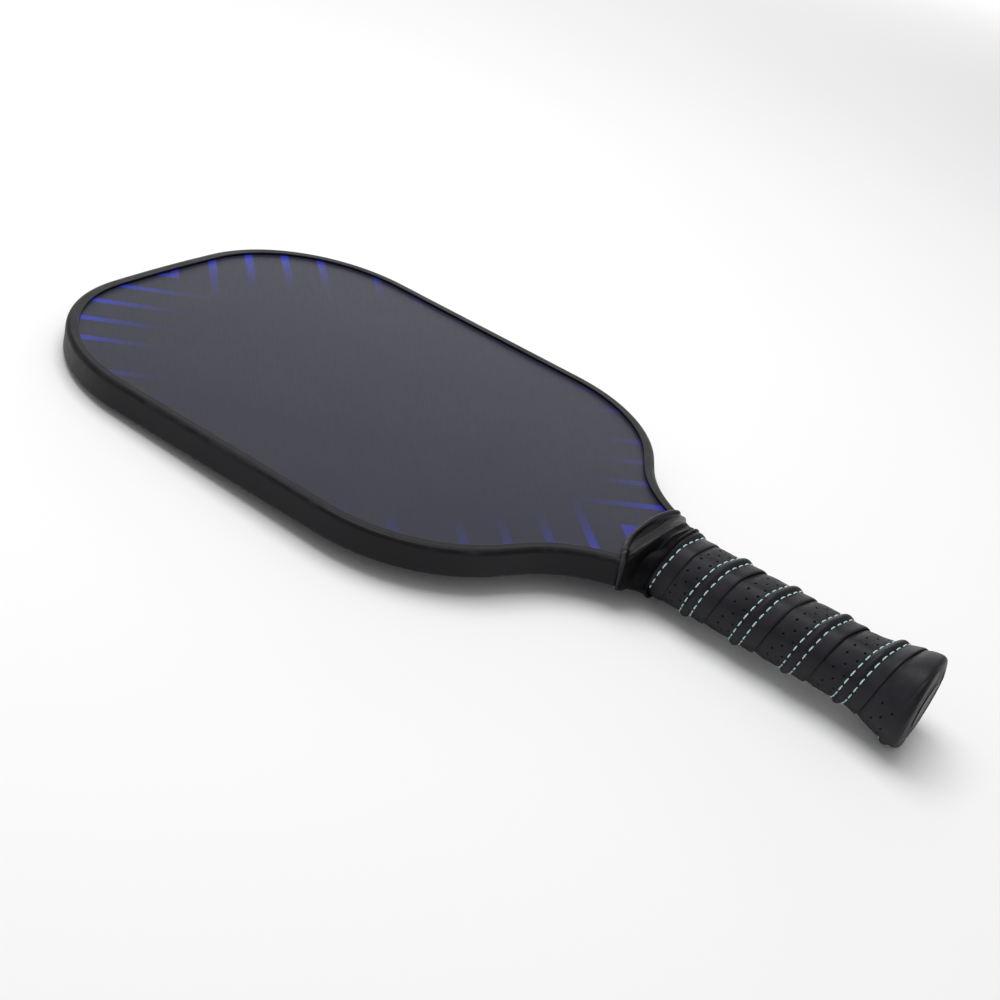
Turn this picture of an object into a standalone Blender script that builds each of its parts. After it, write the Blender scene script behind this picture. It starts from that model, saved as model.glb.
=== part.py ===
"""Pickleball paddle: a honeycomb sandwich head in an edge guard, with a wrapped and collared handle.

Metres. X runs across the face, +Y from the butt to the tip of the head and +Z out of the front face.
The origin is the middle of the paddle's bounding box, halfway along it and halfway through it.
"""

from math import acos, asin, atan2, cos, hypot, pi, sin

import bmesh
import bpy
import numpy as np
from mathutils import Matrix

# Overall sizes
LENGTH = 0.400
WIDTH = 0.203
EDGE_THICKNESS = 0.013  # over the lips of the edge guard, the thickest part of the head
GRIP_LENGTH = 0.128  # from the butt end to the upper edge of the collar
FIT = 0.0003  # clearance between any two pieces that touch

# Outline of the head: tangent arcs, from the crown round to the throat
CROWN_RADIUS = 0.838
CORNER_RADIUS = 0.0703
SHOULDER_RADIUS = 0.072
THROAT_RADIUS = 0.0628
THROAT_STRAIGHT = 0.011
THROAT_WIDTH = 0.0448  # where the throat curve comes parallel with the handle
THROAT_LEVEL = 0.097  # height of that place above the butt end

# Edge guard
LIP_WIDTH = 0.0053
LIP_THICKNESS = 0.0009
GUARD_WALL = 0.0015
GUARD_ROUND = 0.0022
GUARD_TUCK = 0.004  # how far the ends of the guard run in under the collar

# Sandwich
FACE_THICKNESS = 0.0006
CELL = 0.018  # honeycomb cell across its flats
CELL_WALL = 0.0012

# Handle: half sizes of the eight-sided pallets, to their side, top and slanting flats
HANDLE_SIDE = 0.0149
HANDLE_TOP = 0.0121
HANDLE_SLANT = 0.0134
HANDLE_SOFTNESS = 14  # a higher power gives sharper corners between the eight flats
TURN_STEPS = 24  # points round the handle, on every piece that goes round it
NECK_TAPER = 0.0075  # length over which the sandwich narrows to the tongue in the handle
PALLET_WEDGE = 0.006  # length of the slope at the front end of a pallet
WEDGE_TIP = 0.2  # share of the pallet's height left at the tip of that slope

# Butt cap
FLARE_SLOPE = 0.24
FLARE_LENGTH = 0.022  # the length of the handle's end that flares
CAP_SKIRT = 0.018
CAP_END = 0.0022
CAP_RIM = 0.0015
BADGE_SIDE = 0.013
BADGE_TOP = 0.009
BADGE_THICKNESS = 0.0006
STAPLE_WIRE = 0.0004
STAPLE_WIDTH = 0.010
STAPLE_BED = 0.0012  # pallet left under the points of its legs
STAPLE_LEVEL = 0.009  # height above the butt end

# Grip wrap: a strip wound from the butt upwards, each turn lapping over the one below
WRAP_THICKNESS = 0.0016
WRAP_PITCH = 0.0231
LAP = 0.0025
LAP_THICKNESS = 0.0007
SEAM_BELOW_RIB = 0.0086
RIB_HEIGHT = 0.0013
RIB_CREST = 0.0010  # half width of the rib's rounded top
RIB_FOOT = 0.0020  # half width of the rib at its foot
RIB_PHASE = 0.1114  # height above the butt end at which the first rib crosses the front of the handle
RIB_RUNIN = 0.003
CORD_RADIUS = 0.0009
STITCH_OFFSET = 0.00235  # from the rib's crest to each row of stitches
THREAD_RADIUS = 0.0003

# Finishing tape and collar
TAPE_THICKNESS = 0.0003
TAPE_WIDTH = 0.003
COLLAR_WALL = 0.0009
COLLAR_BEAD = 0.0012
COLLAR_LENGTH = 0.0155
COLLAR_CORNER = 0.0026

# Levels along the handle that several pieces share
TIP = LENGTH / 2
BUTT = -LENGTH / 2
COLLAR_TOP = BUTT + GRIP_LENGTH
COLLAR_FOOT = COLLAR_TOP - COLLAR_LENGTH
GUARD_END = COLLAR_TOP - GUARD_TUCK
TONGUE_TOP = GUARD_END - NECK_TAPER
WRAP_TOP = TONGUE_TOP - FIT
WRAP_FOOT = BUTT + CAP_RIM + FIT
HANDLE_END = BUTT + CAP_END + FIT

# Levels through the thickness
LIP_UNDERSIDE = EDGE_THICKNESS / 2 - LIP_THICKNESS
FACE_OUTER = LIP_UNDERSIDE - FIT
FACE_INNER = FACE_OUTER - FACE_THICKNESS
CORE_HALF = FACE_INNER - FIT
SANDWICH_INSET = GUARD_WALL + FIT


# ---------------------------------------------------------------- scene and small helpers


def clear_scene():
    for item in list(bpy.data.objects):
        bpy.data.objects.remove(item, do_unlink=True)


def new_collection(name):
    collection = bpy.data.collections.new(name)
    bpy.context.scene.collection.children.link(collection)
    return collection


def new_material(name, colour, roughness, metallic=0.0):
    material = bpy.data.materials.new(name)
    material.use_nodes = True
    shader = material.node_tree.nodes["Principled BSDF"]
    shader.inputs["Base Color"].default_value = (*colour, 1.0)
    shader.inputs["Roughness"].default_value = roughness
    shader.inputs["Metallic"].default_value = metallic
    return material


def add_object(name, data, material, collection):
    item = bpy.data.objects.new(name, data)
    if material:
        data.materials.append(material)
    collection.objects.link(item)
    return item


def add_mesh(name, points, faces, material, collection):
    """A mesh object from points and faces, its normals turned outwards and its round parts smooth."""
    mesh = bpy.data.meshes.new(name)
    mesh.from_pydata([tuple(p) for p in points], [], faces)
    shape = bmesh.new()
    shape.from_mesh(mesh)
    bmesh.ops.recalc_face_normals(shape, faces=shape.faces)
    shape.to_mesh(mesh)
    shape.free()
    mesh.shade_smooth()
    mesh.set_sharp_from_angle(angle=pi / 5)
    return add_object(name, mesh, material, collection)


def curve_data(name, loops, dimensions="2D", closed=True):
    """A curve of straight runs through each loop's points, which lie close enough to read as round."""
    curve = bpy.data.curves.new(name, "CURVE")
    curve.dimensions = dimensions
    for loop in loops:
        spline = curve.splines.new("POLY")
        spline.points.add(len(loop) - 1)
        for point, place in zip(spline.points, loop):
            point.co = (*place, *(0.0,) * (3 - len(place)), 1.0)
        spline.use_cyclic_u = closed
    return curve


def add_plate(name, loops, half_thickness, material, collection):
    """A flat plate with the first loop as its outline and the others as openings through it."""
    curve = curve_data(name, loops)
    curve.fill_mode = "BOTH"
    curve.extrude = half_thickness
    return add_object(name, curve, material, collection)


def add_wire(name, points, radius, material, collection):
    """A wire or cord through the points, four-sided, with closed ends."""
    curve = curve_data(name, [points], "3D", closed=False)
    curve.bevel_depth = radius
    curve.bevel_resolution = 0
    curve.use_fill_caps = True
    return add_object(name, curve, material, collection)


def as_mesh(item):
    """The same object as a mesh, so that it can be cut or can cut: its loose caps are welded on."""
    bpy.context.view_layer.update()
    evaluated = item.evaluated_get(bpy.context.evaluated_depsgraph_get())
    mesh = bpy.data.meshes.new_from_object(evaluated)
    shape = bmesh.new()
    shape.from_mesh(mesh)
    bmesh.ops.remove_doubles(shape, verts=shape.verts, dist=1e-7)
    bmesh.ops.recalc_face_normals(shape, faces=shape.faces)
    shape.to_mesh(mesh)
    shape.free()
    name, place, collection = item.name, item.matrix_world.copy(), item.users_collection[0]
    bpy.data.objects.remove(item, do_unlink=True)
    made = bpy.data.objects.new(name, mesh)
    made.matrix_world = place
    collection.objects.link(made)
    return made


def as_cutter(item):
    item.hide_render = True
    item.display_type = "WIRE"
    return item


def add_box_cutter(name, low, high):
    mesh = bpy.data.meshes.new(name)
    shape = bmesh.new()
    bmesh.ops.create_cube(shape, size=1.0)
    size = np.subtract(high, low)
    middle = np.add(high, low) / 2
    bmesh.ops.transform(shape, matrix=Matrix.LocRotScale(middle, None, size), verts=shape.verts)
    shape.to_mesh(mesh)
    shape.free()
    return as_cutter(add_object(name, mesh, None, cutters))


def cut(item, cutter, operation="DIFFERENCE"):
    modifier = item.modifiers.new(cutter.name, "BOOLEAN")
    modifier.operation = operation
    modifier.object = cutter


def ease(value):
    """Zero to one with a level start and finish."""
    x = np.clip(value, 0.0, 1.0)
    return x * x * (3 - 2 * x)


def loft(rings, ends="FLAT"):
    """Points and faces of a surface through equal rings: with flat ends, or the last joined to the first."""
    count = len(rings[0])
    joined = rings if ends == "FLAT" else [*rings, rings[0]]
    total = count * len(rings)
    faces = []
    for row in range(len(joined) - 1):
        for i in range(count):
            j = (i + 1) % count
            low, high = row * count, (row + 1) * count % total
            faces.append((low + i, low + j, high + j, high + i))
    if ends == "FLAT":
        faces.append(tuple(range(count)))
        faces.append(tuple(range(total - count, total)))
    points = np.concatenate(rings)
    return points, faces


# ---------------------------------------------------------------- outline of the head


def half_outline():
    """Points and outward normals down the +X side, from the tip to the guard's end: arcs and straights."""
    half = WIDTH / 2
    crown_turn = asin((half - CORNER_RADIUS) / (CROWN_RADIUS - CORNER_RADIUS))
    bend = SHOULDER_RADIUS + THROAT_RADIUS
    inwards = half - THROAT_WIDTH / 2
    throat_turn = acos((bend - inwards) / hypot(bend, THROAT_STRAIGHT)) - atan2(THROAT_STRAIGHT, bend)
    crown_drop = CROWN_RADIUS * (1 - cos(crown_turn)) + CORNER_RADIUS * cos(crown_turn)
    neck_drop = bend * sin(throat_turn) + THROAT_STRAIGHT * cos(throat_turn)
    side = LENGTH - THROAT_LEVEL - crown_drop - neck_drop
    throat_start = BUTT + THROAT_LEVEL + THROAT_RADIUS * sin(throat_turn)
    end_heading = asin(sin(throat_turn) - (throat_start - GUARD_END) / THROAT_RADIUS)
    moves = (
        (CROWN_RADIUS, crown_turn, 2),
        (CORNER_RADIUS, pi / 2 - crown_turn, 11),
        (None, side, 1),
        (SHOULDER_RADIUS, throat_turn, 8),
        (None, THROAT_STRAIGHT, 1),
        (-THROAT_RADIUS, end_heading - throat_turn, 5),
    )
    place, heading = np.array([0.0, TIP]), 0.0
    points, normals = [place], [np.array([0.0, 1.0])]
    for radius, amount, steps in moves:
        for step in range(1, steps + 1):
            share = amount * step / steps
            if radius is None:
                point = place + share * np.array([cos(heading), sin(heading)])
                turned = heading
            else:
                centre = place + radius * np.array([sin(heading), -cos(heading)])
                turned = heading - share
                point = centre - radius * np.array([sin(turned), -cos(turned)])
            points.append(point)
            normals.append(np.array([-sin(turned), cos(turned)]))
        place, heading = point, turned
    return np.array(points), np.array(normals)


def head_outline(inset):
    """The whole head's outline from the -X end of the guard over the tip to its +X end, moved inwards."""
    points, normals = half_outline()
    right = points - inset * normals
    left = right[:0:-1] * (-1, 1)
    return np.concatenate([left, right])


def sandwich_outline():
    """The outline of the core and the faces: the head within the guard, then the tongue in the handle."""
    half = half_width_at(FACE_OUTER) - FIT
    tongue = [(half, TONGUE_TOP), (half, HANDLE_END), (-half, HANDLE_END), (-half, TONGUE_TOP)]
    return np.concatenate([head_outline(SANDWICH_INSET), tongue])


def distance_inside(places, outline):
    """How far each place is inside the outline, negative where it is outside."""
    ends = np.roll(outline, -1, axis=0)
    along = ends - outline
    offset = places[:, None] - outline[None]
    share = np.clip((offset * along).sum(2) / (along**2).sum(1), 0, 1)
    gap = np.linalg.norm(offset - share[..., None] * along, axis=2).min(axis=1)
    above = (outline[None, :, 1] > places[:, None, 1]) != (ends[None, :, 1] > places[:, None, 1])
    rise = np.where(along[:, 1] == 0, 1.0, along[:, 1])
    crossing = outline[:, 0] + (places[:, 1, None] - outline[:, 1]) * along[:, 0] / rise
    inside = (above & (places[:, 0, None] < crossing)).sum(1) % 2 == 1
    return np.where(inside, gap, -gap)


# ---------------------------------------------------------------- outline of the handle


def handle_radius(angle):
    """Distance from the handle's axis to the pallets' surface: eight flats with soft corners between."""
    flats = (HANDLE_SIDE, HANDLE_SLANT, HANDLE_TOP, HANDLE_SLANT) * 2
    total = 0.0
    for index, size in enumerate(flats):
        total = total + np.maximum(0, np.cos(angle - index * pi / 4) / size) ** HANDLE_SOFTNESS
    return total ** (-1 / HANDLE_SOFTNESS)


def quarter_outline():
    """Points of the handle's outline from its side round to its top, as every piece samples it."""
    angle = np.arange(TURN_STEPS // 4 + 1) * 2 * pi / TURN_STEPS
    out = handle_radius(angle)
    return out * np.cos(angle), out * np.sin(angle)


def half_width_at(height):
    """Half width of the handle's outline at a height through its thickness."""
    across, up = quarter_outline()
    return float(np.interp(height, up, across))


def half_height_at(offset):
    """Half height of the handle's outline at an offset across its width."""
    across, up = quarter_outline()
    return float(np.interp(offset, across[::-1], up[::-1]))


def flare(level):
    """How much further out the butt cap's surface is than the pallets': a cone that widens to the butt."""
    return FLARE_SLOPE * np.maximum(0, BUTT + FLARE_LENGTH - level)


def round_handle(angle, level, height):
    """Points at these angles about the handle's axis, this high above the pallets or the butt cap."""
    out = handle_radius(angle) + flare(level) + height
    return np.stack([out * np.cos(angle), np.broadcast_to(level, np.shape(out)), out * np.sin(angle)], -1)


def handle_ring(level, height, flared=True):
    angle = np.arange(TURN_STEPS) * 2 * pi / TURN_STEPS
    return round_handle(angle, level, height - (0 if flared else flare(level)))


# ---------------------------------------------------------------- head


def make_edge_guard():
    """Vinyl channel: a wall round the rim with a lip over each face."""
    outer = EDGE_THICKNESS / 2
    under = LIP_UNDERSIDE
    side = [
        (0.0, outer - GUARD_ROUND),
        (GUARD_ROUND * (1 - cos(pi / 4)), outer - GUARD_ROUND * (1 - sin(pi / 4))),
        (GUARD_ROUND, outer),
        (LIP_WIDTH - LIP_THICKNESS / 2, outer),
        (LIP_WIDTH, under + LIP_THICKNESS / 2),
        (LIP_WIDTH, under),
        (GUARD_WALL, under),
    ]
    section = side + [(inset, -level) for inset, level in reversed(side)]
    paths = [head_outline(inset) for inset, _ in section]
    rings = []
    for i in range(len(paths[0])):
        rings.append(np.array([(*path[i], level) for path, (_, level) in zip(paths, section)]))
    add_mesh("edge_guard", *loft(rings), vinyl, parts)


def honeycomb_cells(outline):
    """Six-sided openings in staggered rows, wherever a whole cell and its wall fit inside the outline."""
    turn = np.arange(6) * pi / 3 + pi / 6
    corner = (CELL - CELL_WALL) / 2 / cos(pi / 6)
    cell = corner * np.stack([np.cos(turn), np.sin(turn)], -1)
    row_pitch = CELL * cos(pi / 6)
    rows = int(LENGTH / row_pitch)
    columns = int(WIDTH / CELL) + 1
    found = []
    for row in range(rows):
        for column in range(-columns, columns + 1):
            middle = np.array([(column + row % 2 / 2) * CELL, TIP - row * row_pitch])
            if distance_inside(middle + cell, outline).min() > CELL_WALL:
                found.append(middle + cell)
    return found


def make_core():
    outline = sandwich_outline()
    add_plate("honeycomb_core", [outline, *honeycomb_cells(outline)], CORE_HALF, polymer, parts)


def make_face_sheets():
    for name, side in (("front_face_sheet", 1), ("back_face_sheet", -1)):
        sheet = add_plate(name, [sandwich_outline()], FACE_THICKNESS / 2, graphite, parts)
        sheet.location.z = side * (FACE_INNER + FACE_THICKNESS / 2)


# ---------------------------------------------------------------- handle


def pallet_section():
    """Half of the handle's outline: the flat that lies on the face sheet, and the flats above it."""
    low = FACE_OUTER + FIT
    angle = np.arange(TURN_STEPS // 2 + 1) * 2 * pi / TURN_STEPS
    out = handle_radius(angle)
    arc = [(x, z) for x, z in zip(out * np.cos(angle), out * np.sin(angle)) if z > low + FIT]
    edge = half_width_at(low)
    return [(edge, low), *arc, (-edge, low)]


def make_pallets(staple_holes):
    """Two moulded halves that fill the handle out on each side of the tongue, sloping down at the front."""
    low = FACE_OUTER + FIT
    section = np.array(pallet_section())
    stations = ((HANDLE_END, 1.0), (WRAP_TOP, 1.0), (WRAP_TOP + PALLET_WEDGE, WEDGE_TIP))
    for side, name, hole in zip((1, -1), ("front_handle_pallet", "back_handle_pallet"), staple_holes):
        rings = []
        for level, share in stations:
            height = side * (low + (section[:, 1] - low) * share)
            rings.append(np.stack([section[:, 0], np.full(len(section), level), height], -1))
        pallet = add_mesh(name, *loft(rings), foam, parts)
        cut(pallet, hole)


def staple_path(side, extra=0.0):
    """A staple's wire: a crown sunk into the cap, and two legs into the pallet, longer by extra."""
    level = BUTT + STAPLE_LEVEL
    half = STAPLE_WIDTH / 2
    crown = side * (half_height_at(half) + float(flare(level)) - STAPLE_WIRE - FIT)
    foot = side * (FACE_OUTER + FIT + STAPLE_BED - extra)
    return [(-half, level, foot), (-half, level, crown), (half, level, crown), (half, level, foot)]


def make_staples():
    """Two steel staples through the butt cap; returns the clearance shapes that make room for them."""
    holes = []
    for name, side in (("front_cap_staple", 1), ("back_cap_staple", -1)):
        add_wire(name, staple_path(side), STAPLE_WIRE, steel, parts)
        hole = add_wire(name + "_clearance", staple_path(side, FIT), STAPLE_WIRE + 2 * FIT, None, cutters)
        holes.append(as_cutter(as_mesh(hole)))
    return holes


def make_butt_cap(staple_holes):
    """Moulded cup over the end of the handle, flared outside, with a plain badge set in its end."""
    rim = FIT + WRAP_THICKNESS
    outside = [
        handle_ring(BUTT + CAP_SKIRT, 0.0),
        handle_ring(BUTT + CAP_RIM, 0.0),
        handle_ring(BUTT + CAP_RIM, rim),
        handle_ring(BUTT + CAP_RIM / 2, rim),
        handle_ring(BUTT, rim - CAP_RIM / 2),
    ]
    inside = [
        handle_ring(BUTT + CAP_END, FIT, flared=False),
        handle_ring(BUTT + CAP_SKIRT, FIT, flared=False),
    ]
    cap = add_mesh("butt_cap", *loft([*inside, *outside]), cap_plastic, parts)
    half_width, half_height = BADGE_SIDE + FIT, BADGE_TOP + FIT
    socket = add_oval("badge_socket", half_width, half_height, BADGE_THICKNESS + FIT, None, cutters)
    cut(cap, as_cutter(as_mesh(socket)))
    for hole in staple_holes:
        cut(cap, hole)
    add_oval("butt_cap_badge", BADGE_SIDE, BADGE_TOP, BADGE_THICKNESS, badge_plastic, parts)


def add_oval(name, half_width, half_height, depth, material, collection):
    """An oval disc standing on the butt end, as deep as given."""
    angle = np.arange(TURN_STEPS) * 2 * pi / TURN_STEPS
    loop = np.stack([half_width * np.cos(angle), half_height * np.sin(angle)], -1)
    oval = add_plate(name, [loop], depth / 2, material, collection)
    oval.rotation_euler.x = pi / 2
    oval.location.y = BUTT + depth / 2
    return oval


# ---------------------------------------------------------------- grip wrap


def helix_steps(first_crest, last_crest):
    """Angles and crest heights along the wrap, a whole number of steps of the handle's outline apart."""
    front = BUTT + RIB_PHASE
    step = WRAP_PITCH / TURN_STEPS
    first = int(np.ceil((front - first_crest) / step))
    last = int(np.floor((front - last_crest) / step))
    count = np.arange(first, last + 1)
    return pi / 2 - count * 2 * pi / TURN_STEPS, front - count * step


def rib_share(crest):
    """How much of its full height the rib has: none under the collar, all a little below it."""
    return ease((COLLAR_FOOT - FIT - RIB_FOOT - crest) / RIB_RUNIN)


def wrap_section(share):
    """The strip's section as (place above the crest, height) pairs, lapped edges and rib included."""
    base, top = FIT, FIT + WRAP_THICKNESS
    tuck = base + LAP_THICKNESS
    seam = -SEAM_BELOW_RIB
    upper_seam = seam + WRAP_PITCH
    rise = RIB_HEIGHT * share
    groove = base + (2 * CORD_RADIUS + FIT) * share
    return [
        (seam, tuck + FIT),
        (seam, top),
        (-RIB_FOOT, top),
        (-RIB_CREST, top + rise),
        (RIB_CREST, top + rise),
        (RIB_FOOT, top),
        (upper_seam - FIT, top),
        (upper_seam - FIT, tuck),
        (upper_seam + LAP, tuck),
        (upper_seam + LAP, base),
        (RIB_CREST, base),
        (CORD_RADIUS, groove),
        (-CORD_RADIUS, groove),
        (-RIB_CREST, base),
        (seam + LAP + FIT, base),
        (seam + LAP + FIT, tuck + FIT),
    ]


def make_grip_wrap():
    """Cushioned strip wound round the handle, trimmed square at the butt and under the collar."""
    angles, crests = helix_steps(WRAP_TOP + WRAP_PITCH, WRAP_FOOT - WRAP_PITCH)
    rings = []
    for angle, crest in zip(angles, crests):
        section = np.array(wrap_section(rib_share(crest)))
        rings.append(round_handle(np.full(len(section), angle), crest + section[:, 0], section[:, 1]))
    wrap = add_mesh("grip_wrap", *loft(rings), wrap_leather, parts)
    reach = WIDTH
    trim = add_box_cutter("wrap_trim", (-reach, WRAP_FOOT, -reach), (reach, WRAP_TOP, reach))
    cut(wrap, trim, "INTERSECT")


def make_rib_cord():
    """The cord that lies in the strip's groove and raises the rib."""
    first = COLLAR_FOOT - FIT - RIB_FOOT - RIB_RUNIN
    angles, crests = helix_steps(first, WRAP_FOOT + CORD_RADIUS)
    path = round_handle(angles, crests, FIT + CORD_RADIUS)
    add_wire("grip_rib_cord", path, CORD_RADIUS - FIT / 2, cord_fibre, parts)


def make_rib_stitching():
    """One thread along each foot of the rib, lying on the wrap."""
    height = FIT + WRAP_THICKNESS + FIT + THREAD_RADIUS
    for name, offset in (("upper_rib_stitching", STITCH_OFFSET), ("lower_rib_stitching", -STITCH_OFFSET)):
        first = COLLAR_FOOT - FIT - THREAD_RADIUS - offset
        angles, crests = helix_steps(first, WRAP_FOOT + THREAD_RADIUS - offset)
        path = round_handle(angles, crests + offset, height)
        add_wire(name, path, THREAD_RADIUS, thread, parts)


# ---------------------------------------------------------------- tape and collar


def make_finishing_tape():
    """A band round the cut end of the wrap, hidden under the collar."""
    low = FIT + WRAP_THICKNESS + FIT
    high = low + TAPE_THICKNESS
    foot = WRAP_TOP - TAPE_WIDTH
    rings = [
        handle_ring(foot, low),
        handle_ring(foot, high),
        handle_ring(WRAP_TOP, high),
        handle_ring(WRAP_TOP, low),
    ]
    add_mesh("finishing_tape", *loft(rings, ends="JOINED"), tape_vinyl, parts)


def neck_half_width(level):
    """Half width of the guard beside the neck; below the guard's end it stays as it is there."""
    points, _ = half_outline()
    neck = points[-8:][::-1]
    return float(np.interp(level, neck[:, 1], neck[:, 0]))


def collar_ring(level, height):
    """A ring of the collar: round the guard at the top, round the wrap at its foot, mixed between."""
    angle = np.arange(TURN_STEPS) * 2 * pi / TURN_STEPS
    half_width = neck_half_width(level) + FIT - COLLAR_CORNER
    half_height = EDGE_THICKNESS / 2 + FIT - COLLAR_CORNER
    corner = COLLAR_CORNER + height
    across, up = np.round(np.cos(angle), 9), np.round(np.sin(angle), 9)
    neck_x = np.sign(across) * half_width + corner * across
    neck_z = np.sign(up) * half_height + corner * up
    neck = np.stack([neck_x, np.full(TURN_STEPS, level), neck_z], -1)
    over_tape = FIT + WRAP_THICKNESS + FIT + TAPE_THICKNESS + FIT
    grip = round_handle(angle, level, over_tape + height)
    share = ease((GUARD_END - FIT - level) / (GUARD_END - FIT - WRAP_TOP))
    return neck * (1 - share) + grip * share


def make_collar():
    """Stretched rubber sleeve with a rolled bead at each edge."""
    bead = COLLAR_WALL + COLLAR_BEAD
    half_bead = COLLAR_WALL + COLLAR_BEAD / 2
    profile = [
        (COLLAR_TOP, 0.0),
        (COLLAR_TOP, half_bead),
        (COLLAR_TOP - COLLAR_BEAD, bead),
        (COLLAR_TOP - 2 * COLLAR_BEAD, COLLAR_WALL),
    ]
    levels = np.linspace(GUARD_END - FIT, WRAP_TOP, 5)
    profile += [(level, COLLAR_WALL) for level in levels]
    profile += [
        (COLLAR_FOOT + 1.5 * COLLAR_BEAD, COLLAR_WALL),
        (COLLAR_FOOT + COLLAR_BEAD, half_bead),
        (COLLAR_FOOT, half_bead),
        (COLLAR_FOOT, 0.0),
    ]
    profile += [(level, 0.0) for level in levels[::-1]]
    rings = [collar_ring(level, height) for level, height in profile]
    add_mesh("rubber_collar", *loft(rings, ends="JOINED"), collar_rubber, parts)


# ---------------------------------------------------------------- build

clear_scene()
parts = new_collection("pickleball_paddle")
cutters = new_collection("cutters")

polymer = new_material("core_polymer", (0.75, 0.75, 0.70), 0.6)
graphite = new_material("graphite_face", (0.06, 0.06, 0.065), 0.45)
vinyl = new_material("guard_vinyl", (0.018, 0.018, 0.02), 0.4)
foam = new_material("pallet_foam", (0.55, 0.50, 0.40), 0.9)
cap_plastic = new_material("cap_plastic", (0.012, 0.012, 0.013), 0.45)
badge_plastic = new_material("badge_plastic", (0.02, 0.02, 0.022), 0.5)
steel = new_material("staple_steel", (0.6, 0.6, 0.6), 0.35, 1.0)
wrap_leather = new_material("wrap_synthetic_leather", (0.022, 0.021, 0.024), 0.55)
cord_fibre = new_material("cord_fibre", (0.4, 0.4, 0.38), 0.9)
thread = new_material("aqua_thread", (0.45, 0.75, 0.80), 0.6)
tape_vinyl = new_material("tape_vinyl", (0.02, 0.02, 0.02), 0.5)
collar_rubber = new_material("collar_rubber", (0.012, 0.012, 0.013), 0.25)

make_core()
make_face_sheets()
make_edge_guard()
clearances = make_staples()
make_pallets(clearances)
make_butt_cap(clearances)
make_grip_wrap()
make_rib_cord()
make_rib_stitching()
make_finishing_tape()
make_collar()
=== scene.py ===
from math import acos, asin, atan2, cos, hypot, pi, sin

import bmesh
import bpy
import numpy as np
from mathutils import Matrix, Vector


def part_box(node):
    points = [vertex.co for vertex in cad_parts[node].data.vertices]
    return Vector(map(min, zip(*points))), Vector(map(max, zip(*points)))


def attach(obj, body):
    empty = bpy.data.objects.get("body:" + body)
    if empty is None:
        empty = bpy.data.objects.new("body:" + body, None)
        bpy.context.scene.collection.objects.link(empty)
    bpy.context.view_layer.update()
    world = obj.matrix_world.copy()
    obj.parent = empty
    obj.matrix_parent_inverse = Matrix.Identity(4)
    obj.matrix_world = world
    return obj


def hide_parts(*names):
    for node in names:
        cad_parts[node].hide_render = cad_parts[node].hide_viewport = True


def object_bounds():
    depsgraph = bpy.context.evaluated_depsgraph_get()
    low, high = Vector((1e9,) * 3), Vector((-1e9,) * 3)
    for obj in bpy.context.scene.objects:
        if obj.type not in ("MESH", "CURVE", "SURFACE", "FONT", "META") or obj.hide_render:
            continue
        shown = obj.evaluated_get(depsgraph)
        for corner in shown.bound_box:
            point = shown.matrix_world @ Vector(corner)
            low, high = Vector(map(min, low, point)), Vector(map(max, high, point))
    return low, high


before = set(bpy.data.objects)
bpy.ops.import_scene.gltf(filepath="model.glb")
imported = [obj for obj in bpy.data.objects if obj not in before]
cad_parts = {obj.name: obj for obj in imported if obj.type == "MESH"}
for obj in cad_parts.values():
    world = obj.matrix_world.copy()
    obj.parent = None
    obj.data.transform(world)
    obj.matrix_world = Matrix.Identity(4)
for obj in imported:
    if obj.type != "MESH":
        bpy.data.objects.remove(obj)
cad_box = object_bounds()


# ---------------------------------------------------------------- the two hitting faces
# Stiff graphite sheets glued to the honeycomb, rubbed to a satin lacquer. Blue bands are printed
# on them as nested chevrons, strong at the rim and fading out towards the middle of the head.


def linear(colour):
    """A shader colour from an sRGB colour of six hex figures, by the sRGB curve."""
    share = np.array([int(colour[i : i + 2], 16) for i in (0, 2, 4)]) / 255
    light = np.where(share <= 0.04045, share / 12.92, ((share + 0.055) / 1.055) ** 2.4)
    return (*light.tolist(), 1.0)


def add_node(tree, kind, inputs=(), **settings):
    """One node with its settings; each input named or numbered is linked or set."""
    made = tree.nodes.new("ShaderNode" + kind)
    for name, value in settings.items():
        setattr(made, name, value)
    for socket, value in dict(inputs).items():
        if isinstance(value, bpy.types.NodeSocket):
            tree.links.new(value, made.inputs[socket])
        else:
            made.inputs[socket].default_value = value
    return made


def calculate(tree, operation, *values):
    """One operation on one or two numbers."""
    return add_node(tree, "Math", enumerate(values), operation=operation).outputs[0]


def scaled(tree, value, low, high, to_low=0.0, to_high=1.0):
    """The value eased from one range to another and held at its ends."""
    sockets = {
        "Value": value, "From Min": low, "From Max": high, "To Min": to_low, "To Max": to_high,
    }
    return add_node(tree, "MapRange", sockets, interpolation_type="SMOOTHSTEP").outputs[0]


def mixed(tree, share, first, second):
    """Two colours mixed by a share from 0 to 1."""
    return add_node(tree, "Mix", {0: share, 6: first, 7: second}, data_type="RGBA").outputs[2]


def cloud(tree, place, size, detail=2.0, stretch=(1, 1, 1)):
    """Noise whose patches are about size metres across, longer where stretch is under 1."""
    mapped = add_node(tree, "Mapping", {"Vector": place, "Scale": stretch}).outputs[0]
    sockets = {"Vector": mapped, "Scale": 1 / size, "Detail": detail}
    return add_node(tree, "TexNoise", sockets).outputs[0]


def relief(tree, height, depth, under=None):
    """A bump as deep as given in metres, on top of another one."""
    sockets = {"Height": height, "Distance": depth, "Strength": 1.0}
    if under is not None:
        sockets["Normal"] = under
    return add_node(tree, "Bump", sockets).outputs[0]


def new_finish(name, constants):
    """A material, its node tree, its shader with these constants, and its object coordinates."""
    material = bpy.data.materials.new(name)
    material.use_nodes = True
    tree = material.node_tree
    shader = tree.nodes["Principled BSDF"]
    for socket, value in constants.items():
        shader.inputs[socket].default_value = value
    place = add_node(tree, "TexCoord").outputs["Object"]
    return material, tree, shader, place


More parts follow.
